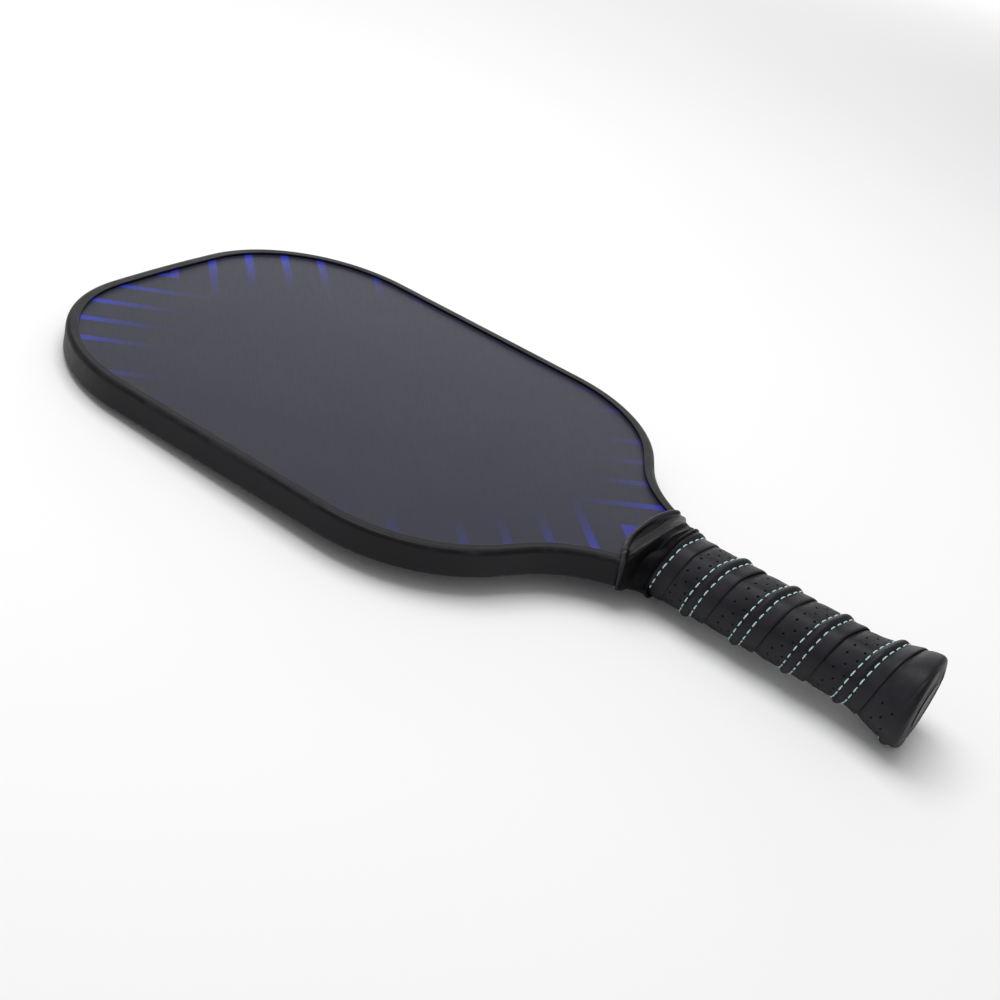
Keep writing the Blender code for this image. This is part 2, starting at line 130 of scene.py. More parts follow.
def link(tree, shader, **sockets):
    """Links outputs to the shader's sockets; an underscore in a name stands for a space."""
    for name, output in sockets.items():
        tree.links.new(output, shader.inputs[name.replace("_", " ")])


def refinish(node, material):
    """Gives a node of the frame that stays in view a better material."""
    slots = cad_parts[node].data.materials
    slots.clear()
    slots.append(material)


def make_printed_graphite():
    """The bands lie where |fold| is a whole number of pitches past the first band. Fold is how far
    a place is beyond the chevrons' turn, |y| - |x| from the print's middle, less the middle step.
    Their strength is the cube of how far out the place is, from the fade's start to the rim. The
    rubbing leaves lines 1.1 mm apart and some 12 mm long, coarser than real so that they show."""
    middle = (-0.0015, 0.063)
    first_band, pitch, turn, half_width, soft = 0.01975, 0.0264, 0.00165, 0.0020, 0.0005
    fade_start, rim = 0.085, 0.139
    line_gap, gap_by_length, line_turn = 0.0011, 0.09, -0.7
    material, tree, shader, place = new_finish(
        "satin_graphite_with_blue_print", {"Specular IOR Level": 0.22}
    )
    x, y, _ = add_node(tree, "SeparateXYZ", {0: place}).outputs
    across = calculate(tree, "ABSOLUTE", calculate(tree, "SUBTRACT", x, middle[0]))
    along = calculate(tree, "ABSOLUTE", calculate(tree, "SUBTRACT", y, middle[1]))
    fold = calculate(tree, "SUBTRACT", calculate(tree, "SUBTRACT", along, across), turn)
    beyond = calculate(tree, "SUBTRACT", calculate(tree, "ABSOLUTE", fold), first_band)
    off_line = calculate(tree, "PINGPONG", beyond, pitch / 2)
    reach = half_width * 2**0.5
    band = scaled(tree, off_line, reach + soft, reach - soft)
    squares = [calculate(tree, "MULTIPLY", side, side) for side in (across, along)]
    out = calculate(tree, "SQRT", calculate(tree, "ADD", *squares))
    past_start = calculate(tree, "SUBTRACT", out, fade_start)
    share = calculate(tree, "DIVIDE", past_start, rim - fade_start)
    share = calculate(tree, "MINIMUM", calculate(tree, "MAXIMUM", share, 0.0), 1.0)
    strength = calculate(tree, "MULTIPLY", calculate(tree, "POWER", share, 3.0), band)
    mapping = {"Vector": place, "Rotation": (0, 0, line_turn)}
    turned = add_node(tree, "Mapping", mapping).outputs[0]
    paler_share = cloud(tree, turned, line_gap, 3.0, (gap_by_length, 1, 1))
    speck = cloud(tree, place, 0.00045, 2.0)
    patches = cloud(tree, place, 0.035, 3.0)
    charcoal = mixed(tree, scaled(tree, paler_share, 0.3, 0.7), linear("1e1f31"), linear("222335"))
    patchy = scaled(tree, patches, 0.35, 0.7, 0.0, 0.35)
    charcoal = mixed(tree, patchy, charcoal, linear("282938"))
    blue = mixed(tree, scaled(tree, speck, 0.35, 0.65), linear("232eaa"), linear("2d3abc"))
    link(
        tree, shader, Base_Color=mixed(tree, strength, charcoal, blue),
        Roughness=scaled(tree, paler_share, 0.25, 0.75, 0.4, 0.48),
        Normal=relief(tree, speck, 0.00002, relief(tree, paler_share, 0.00001)),
    )
    return material


printed_graphite = make_printed_graphite()
refinish("front_face_sheet", printed_graphite)
refinish("back_face_sheet", printed_graphite)


# ---------------------------------------------------------------- honeycomb core
# A sheet of polypropylene honeycomb between the faces, closed in by the guard: it only shows if
# the guard is taken off.


def make_core_polymer():
    """Milky, faintly waxy extruded polypropylene, streaked along the cells."""
    material, tree, shader, place = new_finish("milky_polypropylene", {"Roughness": 0.55})
    drawn = cloud(tree, place, 0.004, 3.0, (1, 1, 0.2))
    link(tree, shader, Base_Color=mixed(tree, drawn, linear("c9c8bd"), linear("dddcd2")))
    return material


refinish("honeycomb_core", make_core_polymer())


# ---------------------------------------------------------------- edge guard
# An extruded channel of black vinyl, bent round the rim and glued: a wall with a lip over each
# face. Its outer corners are rounded and slightly scuffed, and its ends run in under the collar.

guard_low, guard_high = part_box("edge_guard")


def head_path(steps):
    """Half the head's outline, as tangent arcs and straights from the tip down the +X side, with
    its outward normals: crown, corner, side, shoulder, straight, throat. steps gives each its
    cuts. The turn of the throat is the one that brings the outline in to the neck's half width."""
    crown, corner, shoulder, throat, straight = 0.838, 0.0703, 0.072, 0.0628, 0.011
    neck_half, neck_above_butt = 0.0224, 0.097
    half, tip = guard_high.x, guard_high.y
    crown_turn = asin((half - corner) / (crown - corner))
    bend, inwards = shoulder + throat, half - neck_half
    throat_turn = acos((bend - inwards) / hypot(bend, straight)) - atan2(straight, bend)
    crown_drop = crown * (1 - cos(crown_turn)) + corner * cos(crown_turn)
    neck_drop = bend * sin(throat_turn) + straight * cos(throat_turn)
    neck_at = cad_box[0][1] + neck_above_butt
    side = tip - neck_at - crown_drop - neck_drop
    throat_start = neck_at + throat * sin(throat_turn)
    end_heading = asin(sin(throat_turn) - (throat_start - guard_low.y) / throat)
    moves = (
        (crown, crown_turn), (corner, pi / 2 - crown_turn), (None, side),
        (shoulder, throat_turn), (None, straight), (-throat, end_heading - throat_turn),
    )
    place, heading = np.array([0.0, tip]), 0.0
    points, headings = [place[None]], [np.zeros(1)]
    for (radius, amount), count in zip(moves, steps):
        share = amount * np.arange(1, count + 1) / count
        if radius is None:
            run = place + share[:, None] * (cos(heading), sin(heading))
            turned = np.full(count, heading)
        else:
            turned = heading - share
            step_x = np.sin(turned) - sin(heading)
            step_y = np.cos(turned) - cos(heading)
            run = place + radius * np.stack([-step_x, step_y], -1)
        points.append(run)
        headings.append(turned)
        place, heading = run[-1], turned[-1]
    turned = np.concatenate(headings)
    return np.concatenate(points), np.stack([-np.sin(turned), np.cos(turned)], -1)


def whole_path(steps):
    """The half outline and its mirror, as one path from the -X end over the tip to the +X end."""
    flip = (-1, 1)
    return [np.concatenate([half[:0:-1] * flip, half]) for half in head_path(steps)]


def arc(centre, radius, start, end, count):
    """Points on an arc between two angles in degrees."""
    turn = np.radians(np.linspace(start, end, count))
    return np.stack([centre[0] + radius * np.cos(turn), centre[1] + radius * np.sin(turn)], -1)


def add_piece(name, points, faces, material, stands_for, corner_map=None):
    """A piece on the one body from points and faces, smooth, with its normals turned outwards."""
    mesh = bpy.data.meshes.new(name)
    mesh.from_pydata(points.tolist(), [], faces)
    if corner_map is not None:
        layer = mesh.uv_layers.new(name="length_and_girth")
        layer.data.foreach_set("uv", corner_map.astype(np.float32).ravel())
    shell = bmesh.new()
    shell.from_mesh(mesh)
    bmesh.ops.recalc_face_normals(shell, faces=shell.faces)
    shell.to_mesh(mesh)
    shell.free()
    mesh.polygons.foreach_set("use_smooth", np.ones(len(mesh.polygons), bool))
    mesh.materials.append(material)
    piece = bpy.data.objects.new(name, mesh)
    bpy.context.scene.collection.objects.link(piece)
    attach(piece, "root")
    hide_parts(stands_for)
    return piece


def sweep_faces(rows, columns):
    """Faces of a tube of rings: quads between each ring and the next, and a face over each end."""
    index = np.arange(rows * columns).reshape(rows, columns)
    near = np.roll(index, -1, axis=1)
    quads = np.stack([index[:-1], near[:-1], near[1:], index[1:]], -1).reshape(-1, 4).tolist()
    return [*quads, index[0].tolist(), index[-1].tolist()]


def guard_section():
    """The channel's closed section as (inset from the rim, height): inside first, then lip, wall,
    lip. The wall is very slightly hollow, each lip sags a little behind its outer corner, and the
    points beside an arc keep it tight."""
    lip, under, wall, top = 0.0053, 0.0056, 0.0015, guard_high.z
    corner, edge, inside_corner = 0.0022, 0.0004, 0.0006
    hollow, sag, beside = 0.00004, 0.00003, 0.0002
    upper = np.concatenate([
        [(wall + inside_corner, under), (wall + 0.002, under), (lip - beside / 2, under)],
        arc((lip - edge, top - edge), edge, 0, 90, 5),
        [(lip - edge - beside, top), (corner + 0.0008, top - sag), (corner + beside / 2, top)],
        arc((corner, top - corner), corner, 95, 180, 10),
        [(0, top - corner - beside), (hollow, 0.0015)],
    ])
    start = [(wall, 0.0), (wall, under - inside_corner)]
    return np.concatenate([start, upper, upper[::-1] * (1, -1), [(wall, inside_corner - under)]])


def make_guard_vinyl():
    """Black extruded vinyl: a fine matt grain, with paler rubbed streaks on the outer corners,
    where the wall turns into the lips."""
    corner_below_top, corner_reach = 0.0009, 0.0009
    material, tree, shader, place = new_finish(
        "black_vinyl_extrusion", {"Specular IOR Level": 0.2}
    )
    grain = cloud(tree, place, 0.0004, 3.0)
    smears = cloud(tree, place, 0.012, 4.0)
    height = calculate(tree, "ABSOLUTE", add_node(tree, "SeparateXYZ", {0: place}).outputs[2])
    off_corner = calculate(tree, "SUBTRACT", height, guard_high.z - corner_below_top)
    near_corner = scaled(tree, calculate(tree, "ABSOLUTE", off_corner), corner_reach, 0.0002)
    paler_share = calculate(tree, "MULTIPLY", near_corner, scaled(tree, smears, 0.45, 0.75, 0.0, 0.2))
    black = mixed(tree, scaled(tree, smears, 0.3, 0.7), linear("0c0c10"), linear("121217"))
    link(
        tree, shader, Base_Color=mixed(tree, paler_share, black, linear("4a4a50")),
        Roughness=scaled(tree, smears, 0.3, 0.75, 0.42, 0.54),
        Normal=relief(tree, grain, 0.000015),
    )
    return material


def guard_grid():
    """The section carried along the rim. At each end of the path one more step runs straight on
    downwards under the collar, further at the -X end, which comes first."""
    points, normals = whole_path((16, 36, 12, 28, 4, 18))
    run_on = np.array([[0.0022], [0.0003]])
    down = np.stack([-normals[[0, -1], 1], normals[[0, -1], 0]], -1)
    past = run_on * down * -np.sign(down[:, 1:])
    points = np.concatenate([points[:1] + past[:1], points, points[-1:] + past[1:]])
    normals = normals[[0, *range(len(normals)), -1]]
    inset, height = guard_section().T
    flat = points[:, None] - inset[None, :, None] * normals[:, None]
    return np.concatenate([flat, np.broadcast_to(height[:, None], (*flat.shape[:2], 1))], -1)


guard_points, guard_vinyl = guard_grid(), make_guard_vinyl()
add_piece(
    "vinyl_edge_guard", guard_points.reshape(-1, 3), sweep_faces(*guard_points.shape[:2]),
    guard_vinyl, "edge_guard",
)


# ---------------------------------------------------------------- handle pallets and staples
# Two moulded foam halves fill the handle out on each side of the core's tongue, and two steel
# staples hold the butt cap to them. The grip covers all of it.


def make_pallet_foam():
    """Moulded polyurethane foam: straw coloured and dull, with fine closed cells."""
    material, tree, shader, place = new_finish("moulded_pallet_foam", {"Roughness": 0.85})
    cells = cloud(tree, place, 0.0006, 3.0)
    link(
        tree, shader, Base_Color=mixed(tree, cells, linear("b4a98c"), linear("cbc1a6")),
        Normal=relief(tree, cells, 0.00005),
    )
    return material


def make_staple_steel():
    """Drawn steel wire with a zinc coat: bright grey, with a gloss that varies along it."""
    material, tree, shader, place = new_finish(
        "zinc_plated_wire", {"Metallic": 1.0, "Base Color": linear("b9bbbd")}
    )
    coat = cloud(tree, place, 0.0008, 3.0)
    link(tree, shader, Roughness=scaled(tree, coat, 0.3, 0.7, 0.25, 0.45))
    return material


pallet_foam, staple_steel = make_pallet_foam(), make_staple_steel()
for node in ("front_handle_pallet", "back_handle_pallet"):
    refinish(node, pallet_foam)
for node in ("front_cap_staple", "back_cap_staple"):
    refinish(node, staple_steel)


# ---------------------------------------------------------------- butt cap and badge
# A moulded cup over the end of the handle, flared outside so that the hand can't slip off, with
# a plain oval badge pressed into its end. The grip covers its skirt and turns over its rim.

butt = cad_box[0][1]
wrap_over_pallets = 0.0019
turn_radius, turn_most, rim_past_butt = 0.0024, 1.35, 0.0011
rim_start = butt + turn_radius - rim_past_butt
ring_angle = np.arange(96) * 2 * pi / 96


def handle_radius(angle):
    """Distance from the handle's axis to the pallets: the eight flats' distances in that direction,
    joined by a soft minimum, so that the corners between them are rounded."""
    flats, sharpness = (0.0149, 0.0134, 0.0121, 0.0134) * 2, 14
    nearness = [
        np.maximum(0, np.cos(angle - index * pi / 4) / flat) ** sharpness
        for index, flat in enumerate(flats)
    ]
    return sum(nearness) ** (-1 / sharpness)


def eased(share):
    """A smooth step from 0 to 1."""
    share = np.clip(share, 0, 1)
    return share * share * (3 - 2 * share)


def flare(level):
    """How much wider the handle is at a level than its straight part: an S-curve down to the
    butt."""
    widest, reach = 0.0052, 0.027
    return widest * eased((butt + reach - level) / reach)


def on_handle(angle, level, height):
    """A point on the handle at an angle from +X towards +Z, above the pallets by its height. Past
    the rim's start the surface turns most of a quarter circle, and then runs in over the end."""
    past = np.maximum(0, rim_start - level)
    turned = np.minimum(past / turn_radius, turn_most)
    run_in = np.maximum(0, past - turn_radius * turn_most)
    arm = turn_radius + height - wrap_over_pallets
    widened = handle_radius(angle) + flare(np.maximum(level, rim_start))
    base = widened + wrap_over_pallets - turn_radius
    out = base + arm * np.cos(turned) - run_in * np.sin(turn_most)
    over_rim = rim_start - arm * np.sin(turned) - run_in * np.cos(turn_most)
    y = np.where(past > 0, over_rim, level)
    return np.stack([out * np.cos(angle), y, out * np.sin(angle)], -1)


def make_cap_plastic(name, colour, rough):
    """Moulded ABS: nearly black and satin, with a fine spark-eroded grain and faint flow marks."""
    material, tree, shader, place = new_finish(
        name, {"Roughness": rough, "Specular IOR Level": 0.1}
    )
    grain = cloud(tree, place, 0.0005, 3.0)
    tint = scaled(tree, cloud(tree, place, 0.01, 2.0), 0.3, 0.7, 0.0, 0.12)
    link(
        tree, shader, Base_Color=mixed(tree, tint, linear(colour), linear("55555a")),
        Normal=relief(tree, grain, 0.00002),
    )
    return material


def ring(half_x, half_z, above):
    """Points round the handle's axis, at a height above the butt."""
    level = np.full(len(ring_angle), butt + above)
    return np.stack([half_x * np.cos(ring_angle), level, half_z * np.sin(ring_angle)], -1)


def cap_rings():
    """The cup's section carried round the handle's outline: its inside wall, its flared skirt, and
    an end that stands out inside the turned-over grip and is slightly domed. Each ring is a height
    above the butt, with its distance over the pallets or, on the end, its share of the end."""
    pallets = handle_radius(ring_angle)
    inside = ((0.0022, 0.0003), (0.018, 0.0003))
    skirt = (
        (0.018, 0.0), (0.012, 0.0), (0.006, 0.0), (0.0026, -0.0003),
        (0.001, -0.0012), (0.0006, -0.0024),
    )
    end = (
        (0.0005, 1.0), (-0.001, 0.985), (-0.0013, 0.95), (-0.0015, 0.8),
        (-0.0016, 0.6), (-0.0016, 0.3),
    )
    end_over_pallets = 0.0024
    outlines = [
        *((above, pallets + over) for above, over in inside),
        *((above, pallets + flare(butt + above) + over) for above, over in skirt),
        *((above, (pallets + end_over_pallets) * share) for above, share in end),
    ]
    return np.stack([ring(out, out, above) for above, out in outlines])


def badge_rings():
    """An oval disc with a raised ring near its edge, as (share of its half sizes, height) pairs.
    Its face stands proud of the cap's end."""
    _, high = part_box("butt_cap_badge")
    back, front, sunk = high.y - butt, -0.0020, -0.0018
    pairs = (
        (0.3, back), (1.0, back), (1.0, front + 0.00025), (0.97, front),
        (0.9, front), (0.88, sunk), (0.3, sunk),
    )
    return np.stack([ring(high.x * share, high.z * share, above) for share, above in pairs])


cap_points, badge_points = cap_rings(), badge_rings()
add_piece(
    "moulded_butt_cap", cap_points.reshape(-1, 3), sweep_faces(*cap_points.shape[:2]),
    make_cap_plastic("black_cap_plastic", "161618", 0.55), "butt_cap",
)
add_piece(
    "plain_oval_badge", badge_points.reshape(-1, 3), sweep_faces(*badge_points.shape[:2]),
    make_cap_plastic("charcoal_badge_plastic", "1f1f22", 0.45), "butt_cap_badge",
)


# ---------------------------------------------------------------- grip wrap
# A strip of cushioned synthetic leather wound up the handle from the butt. Its lower edge laps
# over the turn below, a cord sewn under it raises a rib, and the band above the rib is punched.

# Lengths along the strip are measured at this height over the pallets.
measured_at = 0.0018
perimeter_angles = np.linspace(0, 2 * pi, 1441)
perimeter_out = handle_radius(perimeter_angles) + measured_at
perimeter_steps = np.hypot(
    np.diff(perimeter_out * np.cos(perimeter_angles)),
    np.diff(perimeter_out * np.sin(perimeter_angles)),
)
perimeter_places = np.concatenate([[0.0], np.cumsum(perimeter_steps)])
perimeter = perimeter_places[-1]

# The rib's crest is a known height above the butt where it crosses the middle of the front.
wrap_pitch, front_crest = 0.0231, butt + 0.1114
slope = atan2(wrap_pitch, perimeter)
strip_turn = perimeter / cos(slope)
length_from, length_to = -0.75 * strip_turn, 5.6 * strip_turn

# The strip's closed section in millimetres, as (across, height) from its lapped lower edge over
# the rib, the punched band and the thin upper edge, and back along the underside and the groove.
strip_profile = np.array([
    (-8.2, 1.3), (-8.6, 1.42), (-8.8, 1.75), (-8.6, 2.1), (-8.0, 2.24), (-6.8, 2.2), (-5.2, 2.05),
    (-3.8, 1.98), (-3.0, 1.92), (-2.5, 1.72), (-2.05, 1.95), (-1.6, 2.55), (-1.0, 3.05),
    (-0.35, 3.25), (0.35, 3.25), (1.0, 3.05), (1.6, 2.55), (2.05, 1.95), (2.5, 1.72), (3.4, 1.93),
    (4.35, 1.95), (5.3, 1.95), (6.0, 1.95), (6.95, 1.95), (7.9, 1.95), (8.65, 1.93), (9.6, 1.9),
    (10.55, 1.85), (11.6, 1.75), (12.7, 1.55), (13.7, 1.35), (14.6, 1.2), (15.8, 1.05),
    (17.0, 1.0), (17.1, 0.65), (17.0, 0.3), (1.0, 0.3), (0.9, 2.4), (-0.9, 2.4), (-1.0, 0.3),
    (-5.8, 0.3), (-5.9, 1.2),
]) / 1000

# Which points of the section the rows of holes are centred on, the two kinds of column that are
# punched, how the columns repeat along the strip, and how far down it the holes and the seam go.
punched_rows = {"outer": 26, "middle": 23, "inner": 20}
pair, single = 1, 2
hole_period, hole_phase, hole_gap = 0.01964, 0.0136, 0.0043
punched_to, sewn_to = 0.4775, 0.462


def on_strip(length, across):
    """The angle and level of a place on the wound strip: length down it from the front, across it
    above the rib's crest. It goes round the outline by length, less what the slope takes, and down
    a pitch each turn. The last turn before the collar is pulled 3 mm closer to the one before."""
    pulled, pulled_from, pulled_over = 0.003, -0.7, 4.2
    gone = (length + across * sin(slope)) * cos(slope)
    start = np.interp(pi / 2, perimeter_angles, perimeter_places)
    turns, within = np.divmod(start - gone, perimeter)
    angle = np.interp(within, perimeter_places, perimeter_angles) + 2 * pi * turns
    crest = front_crest - wrap_pitch * (pi / 2 - angle) / (2 * pi)
    crest = crest - pulled * eased((angle - pulled_from) / pulled_over)
    return angle, crest + across


def soften(length, across, height, level):
    """Small unevenness of the hand-wound strip: three slow waves added to its upper surface. The
    rib fades out past the end of the seam, and all of it is pressed flat towards the rim."""
    wave, underside, rib_foot, rib_half, rib_fade = 0.00007, 0.0010, 0.002, 0.0024, 0.006
    pressed, spring, press_from = 0.0020, 0.6, 0.003
    waves = np.sin(length * 97 + across * 210) + np.sin(length * 233 - across * 330 + 1)
    waves = waves + np.sin(length * 41 + 2)
    rib = np.maximum(0, height - rib_foot) * (np.abs(across) < rib_half)
    rib = rib * eased((length - sewn_to) / rib_fade)
    uneven = height - rib + wave * waves * (height > underside)
    return np.minimum(uneven, pressed + spring * np.maximum(0, level - butt - press_from))


def strip_columns():
    """Lengths of the columns, three to each space between punched columns, and which are punched:
    a group is pair, single, pair, single, pair, and then a wider gap."""
    per_space = 3
    space = (hole_period - hole_gap) / 4
    starts = hole_gap / 2 + space * np.arange(5)
    widths = np.array([space] * 4 + [hole_gap])
    one = (starts[:, None] + widths[:, None] * np.arange(per_space) / per_space).ravel()
    first = int(np.floor((length_from - hole_phase) / hole_period))
    last = int(np.ceil((length_to - hole_phase) / hole_period))
    count = np.arange(first, last)
    lengths = (hole_phase + count[:, None] * hole_period + one).ravel()
    group = np.repeat([pair, single, pair, single, pair], per_space)
    group = group * (np.arange(len(group)) % per_space == 0)
    return lengths, np.tile(group, len(count)) * (lengths < punched_to)


def strip_with_holes():
    """The strip as places (length, across, height): a grid of quads, and at each punched place four
    quads taken out for rings of eight points that go from the grid's corners down into the hole."""
    lengths, kinds = strip_columns()
    across, heights = strip_profile.T
    columns, rows = len(lengths), len(across)
    grid = np.stack([
        np.repeat(lengths, rows), np.tile(across, columns), np.tile(heights, columns)
    ], -1)
    index = np.arange(columns * rows).reshape(columns, rows)
    near = np.roll(index, -1, axis=1)
    quads = np.stack([index[:-1], near[:-1], near[1:], index[1:]], -1)
    pairs = np.flatnonzero(kinds[1:-1] == pair) + 1
    singles = np.flatnonzero(kinds[1:-1] == single) + 1
    at = np.concatenate([pairs, pairs, singles])
    row = np.repeat(
        [punched_rows["outer"], punched_rows["inner"], punched_rows["middle"]],
        [len(pairs), len(pairs), len(singles)],
    )
    keep = np.ones(quads.shape[:2], bool)
    for left, down in ((-1, -1), (-1, 0), (0, -1), (0, 0)):
        keep[at + left, row + down] = False
    around = ((-1, -1), (-1, 0), (-1, 1), (0, 1), (1, 1), (1, 0), (1, -1), (0, -1))
    turn = np.arctan2([side for _, side in around], [step for step, _ in around])
    middle = grid[index[at, row]]
    radius_and_depth = ((0.00072, 0.0), (0.00056, 0.00006), (0.0005, 0.00022), (0.00047, 0.0008))
    loops = [np.stack([index[at + step, row + side] for step, side in around], -1)]
    points, total = [grid], len(grid)
    for radius, depth in radius_and_depth:
        loop = np.repeat(middle[:, None], 8, axis=1)
        loop[..., 0] += radius * np.cos(turn)
        loop[..., 1] += radius * np.sin(turn)
        loop[..., 2] -= depth
        points.append(loop.reshape(-1, 3))
        loops.append(total + np.arange(len(at) * 8).reshape(-1, 8))
        total += len(at) * 8
    faces = quads[keep].tolist()
    for outer, inner in zip(loops, loops[1:]):
        walls = [outer, np.roll(outer, -1, axis=1), np.roll(inner, -1, axis=1), inner]
        faces += np.stack(walls, -1).reshape(-1, 4).tolist()
    faces += loops[-1].tolist()
    faces += [index[0].tolist(), index[-1].tolist()]
    return np.concatenate(points), faces


def trim_level(mesh, level, above):
    """Cuts the flattened strip square at a level and closes the cut with triangles."""
    bmesh.ops.bisect_plane(
        mesh, geom=mesh.verts[:] + mesh.edges[:] + mesh.faces[:], plane_co=(0, level, 0),
        plane_no=(0, 1, 0), clear_outer=above, clear_inner=not above,
    )
    open_edges = [edge for edge in mesh.edges if edge.is_boundary]
    made = bmesh.ops.holes_fill(mesh, edges=open_edges, sides=0)["faces"]
    bmesh.ops.triangulate(mesh, faces=made)


def make_synthetic_leather():
    """Dark grey polyurethane leather, coated and embossed: a pebbled grain of 0.7 mm, nearly matt,
    with patches worn a little shinier and paler."""
    material, tree, shader, place = new_finish(
        "charcoal_synthetic_leather", {"Specular IOR Level": 0.2}
    )
    sockets = {"Vector": place, "Scale": 1 / 0.0007}
    pebble = add_node(tree, "TexVoronoi", sockets, feature="SMOOTH_F1").outputs[0]
    grain = cloud(tree, place, 0.00035, 3.0)
    patches = cloud(tree, place, 0.009, 3.0)
    colour = mixed(tree, scaled(tree, patches, 0.3, 0.7), linear("18181d"), linear("222228"))
    colour = mixed(tree, scaled(tree, grain, 0.4, 0.7, 0.0, 0.3), colour, linear("2b2b32"))
    link(
        tree, shader, Base_Color=colour, Roughness=scaled(tree, patches, 0.3, 0.7, 0.4, 0.54),
        Normal=relief(tree, grain, 0.00003, relief(tree, pebble, 0.00003)),
    )
    return material


def add_wrap():
    """The strip laid flat by angle and level, trimmed at the collar and where it runs in over the
    end, and then wound. Laid flat it is as long for each radian as spread says."""
    spread, runs_in = 0.02, 0.0028
    places, faces = strip_with_holes()
    length, across, height = places.T
    angle, level = on_strip(length, across)
    flat_mesh = bpy.data.meshes.new("strip_laid_flat")
    flat_points = np.stack([angle * spread, level, soften(length, across, height, level)], -1)
    flat_mesh.from_pydata(flat_points.tolist(), [], faces)
    strip = bmesh.new()
    strip.from_mesh(flat_mesh)
    trim_level(strip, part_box("grip_wrap")[1].y, above=True)
    trim_level(strip, rim_start - turn_radius * turn_most - runs_in, above=False)
    strip.to_mesh(flat_mesh)
    strip.free()
    cut = np.empty(len(flat_mesh.vertices) * 3)
    flat_mesh.vertices.foreach_get("co", cut)
    cut = cut.reshape(-1, 3)
    faces = [list(face.vertices) for face in flat_mesh.polygons]
    bpy.data.meshes.remove(flat_mesh)
    wrap = add_piece(
        "wound_grip_wrap", on_handle(cut[:, 0] / spread, cut[:, 1], cut[:, 2]), faces,
        make_synthetic_leather(), "grip_wrap",
    )
    rounding = wrap.modifiers.new("soft_edges", "SUBSURF")
    rounding.levels = rounding.render_levels = 1


add_wrap()


# ---------------------------------------------------------------- rib cord
# A soft cord laid in the strip's groove before it is sewn: it shows only as the rib it raises.


def make_cord_fibre():
    """Twisted cotton: undyed grey and quite matt, with fibres that run mostly along it."""
    material, tree, shader, place = new_finish("twisted_cotton_cord", {"Roughness": 0.9})
    fibres = cloud(tree, place, 0.0004, 3.0, (1, 0.3, 1))
    link(
        tree, shader, Base_Color=mixed(tree, fibres, linear("8d8c86"), linear("a9a8a1")),
        Normal=relief(tree, fibres, 0.00005),
    )
    return material


refinish("grip_rib_cord", make_cord_fibre())


# ---------------------------------------------------------------- rib stitching
# One row of pale aqua thread along each foot of the rib: single lock stitches, pulled down into
# the strip at their ends.


def sweep_corner_map(length, girth):
    """Place along and round a tube for each corner of its faces, in the order of sweep_faces."""
    rows, columns = len(length), len(girth) - 1
    row, column = np.meshgrid(np.arange(rows - 1), np.arange(columns), indexing="ij")
    u = np.stack([length[row], length[row], length[row + 1], length[row + 1]], -1)
    v = np.stack([girth[column], girth[column + 1], girth[column + 1], girth[column]], -1)
    quads = np.stack([u, v], -1).reshape(-1, 2)
    ends = [np.stack([np.full(columns, at), girth[:-1]], -1) for at in (length[0], length[-1])]
    return np.concatenate([quads, *ends])


def make_aqua_thread():
    """Two plies laid round each other, which show as slanting bands, with a soft silky sheen."""
    ply_length = 0.0011
    material, tree, shader, _ = new_finish(
        "aqua_polyester_thread", {"Roughness": 0.5, "Sheen Weight": 0.3, "Sheen Roughness": 0.4}
    )
    place = add_node(tree, "UVMap", uv_map="length_and_girth").outputs[0]
    along, round_it, _ = add_node(tree, "SeparateXYZ", {0: place}).outputs
    slant = calculate(tree, "ADD", calculate(tree, "DIVIDE", along, ply_length), round_it)
    shade = scaled(tree, calculate(tree, "PINGPONG", slant, 0.5), 0.05, 0.2)
    link(
        tree, shader, Base_Color=mixed(tree, shade, linear("7fc4cc"), linear("d4f4f4")),
        Normal=relief(tree, shade, 0.00008),
    )
    return material


def stitch_row(across, first_level):
    """Places of one row: each stitch is a bar with six sides that arches from hole to hole.
    Along it t goes from -1 to 1, its radius falls to a point at the ends, and its middle is
    raised above its seat by the arch times 1 - t^2, less the dip times t^4."""
    pitch, half_length, thickness = 0.0041, 0.00148, 0.00032
    seat, arch, dip, flatness, end_above_butt = 0.00172, 0.00034, 0.0001, 0.85, 0.0012
    middles = np.arange(length_from, sewn_to, pitch)
    _, levels = on_strip(middles, across)
    middles = middles[(levels < first_level) & (levels > butt + end_above_butt)]
    t = np.array([-1, -0.9, -0.6, 0, 0.6, 0.9, 1.0])
    radius = thickness * np.array([0.3, 0.7, 0.95, 1.05, 0.95, 0.7, 0.3])
    raised = seat + arch * (1 - t**2) - dip * t**4
    turn = np.arange(6) * pi / 3
    shape = (len(middles), len(t), 6)
    length = np.broadcast_to(middles[:, None, None] + half_length * t[:, None], shape)
    side = np.broadcast_to(across + radius[:, None] * np.cos(turn), shape)
    height = raised[:, None] + flatness * radius[:, None] * np.sin(turn)
    angle, level = on_strip(length, side)
    points = on_handle(angle, level, np.broadcast_to(height, shape)).reshape(-1, 3)
    one = sweep_faces(len(t), 6)
    step = len(t) * 6
    faces = [[corner + step * k for corner in face] for k in range(len(middles)) for face in one]
    corner_map = sweep_corner_map(half_length * t, np.arange(7) / 6)
    return points, faces, np.tile(corner_map, (len(middles), 1))


def add_stitching():
    """The two rows, the same distance above and below the rib's crest, up to the wrap's end."""
    off_crest, below_end = 0.00235, 0.001
    aqua_thread = make_aqua_thread()
    for name, node, across in (
        ("upper_stitch_row", "upper_rib_stitching", off_crest),
        ("lower_stitch_row", "lower_rib_stitching", -off_crest),
    ):
        points, faces, corner_map = stitch_row(across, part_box("grip_wrap")[1].y - below_end)
        add_piece(name, points, faces, aqua_thread, node, corner_map)


add_stitching()


# ---------------------------------------------------------------- finishing tape
# Black vinyl tape round the cut end of the strip, under the collar.

refinish("finishing_tape", guard_vinyl)


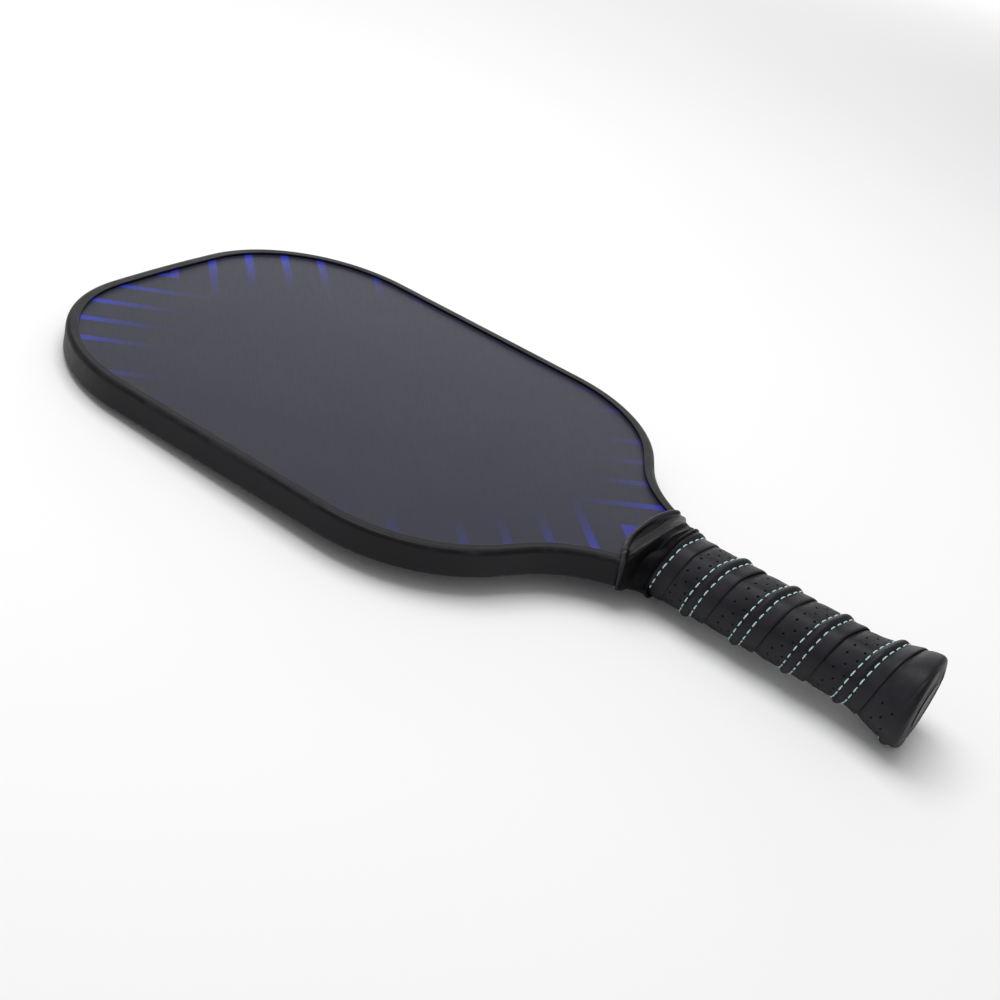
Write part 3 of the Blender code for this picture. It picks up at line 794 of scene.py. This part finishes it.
# ---------------------------------------------------------------- rubber collar
# A stretched rubber sleeve over the end of the guard and the top of the grip. Its edges are
# rolled into beads, and it creases near its foot, where it climbs from the neck to the grip.

# Below this level the sleeve has wholly taken on the grip's outline.
on_grip_from = guard_low.y - 0.0092


def saturated(value, power):
    """A value that rises in proportion and then levels off at 1, or falls to -1; sharper for high
    powers."""
    return value / (1 + np.abs(value) ** power) ** (1 / power)


def on_rounded_box(angle):
    """Where an angle falls on a box with rounded corners, as shares of its half width and half
    height."""
    return saturated(2**0.5 * np.cos(angle), 8), saturated(2**0.5 * np.sin(angle), 5)


def collar_outline(angle, level):
    """The sleeve's inner outline: a flat rounded box on the neck and the grip's own outline below.
    It rises to the grip's height from the bead on, later underneath and at the sides, and draws in
    to its width past the guard's ends, of which the one at -X is longer."""
    over_guard, over_face, over_pallets = 0.0003, 0.0002, 0.0025
    throat_cuts = 60
    points, _ = head_path((2, 2, 2, 2, 4, throat_cuts))
    neck = points[-throat_cuts - 1 :][::-1]
    half_width = np.interp(level, neck[:, 1], neck[:, 0]) + over_guard
    across, up = on_rounded_box(angle)
    draw_from = guard_low.y - 0.0012 + 0.0012 * across
    narrowed = eased((draw_from - level) / (draw_from - on_grip_from))
    rise_from = guard_low.y + 0.0020 + 0.0036 * up - 0.0054 * across**4
    risen = eased((rise_from - level) / (rise_from - on_grip_from))
    out = handle_radius(angle) + over_pallets
    x = across * half_width * (1 - narrowed) + out * np.cos(angle) * narrowed
    return x, up * (guard_high.z + over_face) * (1 - risen) + out * np.sin(angle) * risen


def collar_surface():
    """Place down the sleeve by angle round it: over the upper bead, down the thin wall with two
    creases near its foot, and over the lower bead. The upper edge bows over the faces, down at the
    sides by the power 2.4 of the share across, and the foot is tilted. A crease is a bump over a
    line that wavers with the angle. The near corner of the upper bead, at -X, is crumpled."""
    angle = np.arange(240) * 2 * pi / 240
    across, up = on_rounded_box(angle)
    top = guard_low.y + 0.0067 + 0.0010 * up - 0.0064 * np.abs(across) ** 2.4 + 0.00159 * across
    foot = butt + 0.1119 - 0.00215 * np.cos(angle - 1.085)
    wall, foot_roll = 0.0009, 0.0007
    roll = 0.00135 * (1 - 0.65 * np.abs(across) ** 8)
    creases = ((0.0027, 0.0006, 0.0008, 0.0007), (0.0062, 0.0014, 0.0013, 0.0006))
    rows = [
        (top - roll * (1 + np.cos(turn)), wall + roll * np.sin(turn))
        for turn in np.radians(np.linspace(215, 15, 15))
    ]
    start, end = top - 1.97 * roll, foot + 2 * foot_roll
    for share in np.linspace(0.02, 0.98, 80):
        level = start + share * (end - start)
        height = wall + 0 * level
        for above_foot, tilt, width, depth in creases:
            line = above_foot + tilt * np.cos(angle - 2.3)
            line = line + 0.0004 * np.sin(3 * angle + 300 * above_foot)
            uneven = 0.7 + 0.3 * np.sin(2 * angle + 900 * above_foot)
            height = height + depth * uneven * np.exp(-(((level - foot - line) / width) ** 2))
        rows.append((level, height))
    for turn in np.radians(np.linspace(160, -60, 13)):
        height = wall + foot_roll * np.sin(turn) + 0 * foot
        rows.append((foot + foot_roll * (1 - np.cos(turn)), height))
    levels, heights = (np.stack(part) for part in zip(*rows, strict=True))
    x, z = collar_outline(angle[None], levels)
    step_x, step_z = (np.roll(side, -1, 1) - np.roll(side, 1, 1) for side in (x, z))
    size = np.hypot(step_x, step_z)
    corner_x, corner_reach, folds = -0.0265, 0.0045, 0.0003
    crumple = np.exp(-(((x - corner_x) / corner_reach) ** 2)) * (z > 0)
    crumple = crumple * eased((levels - guard_low.y + 0.004) / 0.006)
    waves = np.sin(1500 * x + 900 * levels) + np.sin(2100 * levels - 700 * z + 1)
    heights = heights + folds * crumple * waves
    return np.stack([x + heights * step_z / size, levels, z - heights * step_x / size], -1)


def make_collar_rubber():
    """Moulded black rubber with a skin of fine wrinkles, dull where dust sits. The bead of the
    upper edge, above the line y = -70.3 mm - 6.4 mm (|x| / 26.5 mm)^2.4, has a painted highlight:
    its colour is painted paler, and it is also made a little glossier."""
    half_width, bow = 0.0265, 0.0064
    material, tree, shader, place = new_finish("black_rubber", {"Specular IOR Level": 0.04})
    wrinkles = cloud(tree, place, 0.0016, 4.0, (0.5, 1, 0.5))
    dust = cloud(tree, place, 0.006, 4.0)
    x, y, _ = add_node(tree, "SeparateXYZ", {0: place}).outputs
    share = calculate(tree, "MULTIPLY", calculate(tree, "ABSOLUTE", x), 1 / half_width)
    bowed = calculate(tree, "MULTIPLY", calculate(tree, "POWER", share, 2.4), bow)
    # Share of the upper bead whose colour is painted paler, a painted highlight; it also lowers the
    # roughness there.
    paler_share = scaled(tree, calculate(tree, "ADD", y, bowed), -0.0708, -0.0698)
    black = mixed(tree, scaled(tree, dust, 0.4, 0.75), linear("0b0b0d"), linear("151518"))
    dull = scaled(tree, dust, 0.35, 0.75, 0.3, 0.46)
    polish = calculate(tree, "MULTIPLY", paler_share, 0.08)
    # The bead's paler grey 35353a is a painted highlight, not wear.
    link(
        tree, shader, Base_Color=mixed(tree, paler_share, black, linear("35353a")),
        Roughness=calculate(tree, "SUBTRACT", dull, polish),
        Normal=relief(tree, wrinkles, 0.00015),
    )
    return material


def collar_faces(rows, columns):
    """The sleeve's outer skin is closed by quads from its last ring straight back to its first."""
    index = np.arange(rows * columns).reshape(rows, columns)
    below, near = np.roll(index, -1, axis=0), np.roll(index, -1, axis=1)
    return np.stack([index, near, np.roll(near, -1, axis=0), below], -1).reshape(-1, 4).tolist()


collar_points = collar_surface()
add_piece(
    "rolled_rubber_collar", collar_points.reshape(-1, 3), collar_faces(*collar_points.shape[:2]),
    make_collar_rubber(), "rubber_collar",
)


# ---------------------------------------------------------------- table, light and camera
# The paddle lies on a plain pale table, on the flare of its handle and the guard's tip. A large
# soft lamp hangs over it, a long low one stands beyond its far side, and the room is white.


def make_pale_table():
    """Matt white laminate, with a tint so faint that it only keeps the table from being flat."""
    material, tree, shader, place = new_finish("pale_table", {"Roughness": 0.9})
    tint = cloud(tree, place, 0.4, 2.0)
    link(tree, shader, Base_Color=mixed(tree, tint, linear("fafafa"), linear("fefefe")))
    return material


def add_table():
    """A square that touches the guard at the tip and the flare at the butt, so it slopes a little.
    The pieces reach below the CAD's lowest points by the two small amounts."""
    below_tip, below_butt, reach = 0.0003, 0.0013, 6.0
    tip_low, butt_low = -guard_high.z - below_tip, cad_box[0][2] - below_butt
    table_slope = (tip_low - butt_low) / (guard_high.y - butt)
    sides = ((-reach, -reach), (reach, -reach), (reach, reach), (-reach, reach))
    corners = [(x, y, butt_low + (y - butt) * table_slope) for x, y in sides]
    mesh = bpy.data.meshes.new("pale_table")
    mesh.from_pydata(corners, [], [(0, 1, 2, 3)])
    mesh.materials.append(make_pale_table())
    table = bpy.data.objects.new("pale_table", mesh)
    bpy.context.scene.collection.objects.link(table)


def add_soft_lamp(name, place, width, height, watts):
    """A rectangular area lamp that faces the middle of the frame."""
    lamp = bpy.data.lights.new(name, "AREA")
    lamp.shape, lamp.size, lamp.size_y, lamp.energy = "RECTANGLE", width, height, watts
    holder = bpy.data.objects.new(name, lamp)
    holder.location = place
    x, y, z = place
    holder.rotation_euler = (atan2(hypot(x, y), z), 0, atan2(-y, -x) - pi / 2)
    bpy.context.scene.collection.objects.link(holder)


def add_camera():
    """The camera's own right, up and back directions are the columns of its turn."""
    lens = bpy.data.cameras.new("camera")
    lens.sensor_width, lens.lens = 36.0, 55.92
    camera = bpy.data.objects.new("camera", lens)
    right = (0.52963, -0.80993, 0.25201)
    up = (0.30847, 0.46067, 0.83224)
    back = (-0.79015, -0.36304, 0.49383)
    camera.location = (-0.53276, -0.24956, 0.31853)
    camera.rotation_euler = Matrix((right, up, back)).transposed().to_euler()
    bpy.context.scene.collection.objects.link(camera)
    bpy.context.scene.camera = camera


def light_the_room():
    """A white room, as bright all round."""
    room = bpy.data.worlds.new("white_room")
    room.use_nodes = True
    colour, strength = room.node_tree.nodes["Background"].inputs[:2]
    colour.default_value, strength.default_value = linear("ffffff"), 0.42
    bpy.context.scene.world = room
    bpy.context.scene.view_settings.view_transform = "Standard"


add_table()
add_soft_lamp("overhead_soft_lamp", (0.05, 0.25, 1.2), 1.0, 1.0, 11.2)
add_soft_lamp("window_lamp", (1.8, 1.0, 0.43), 2.4, 0.5, 9.0)
add_camera()
light_the_room()
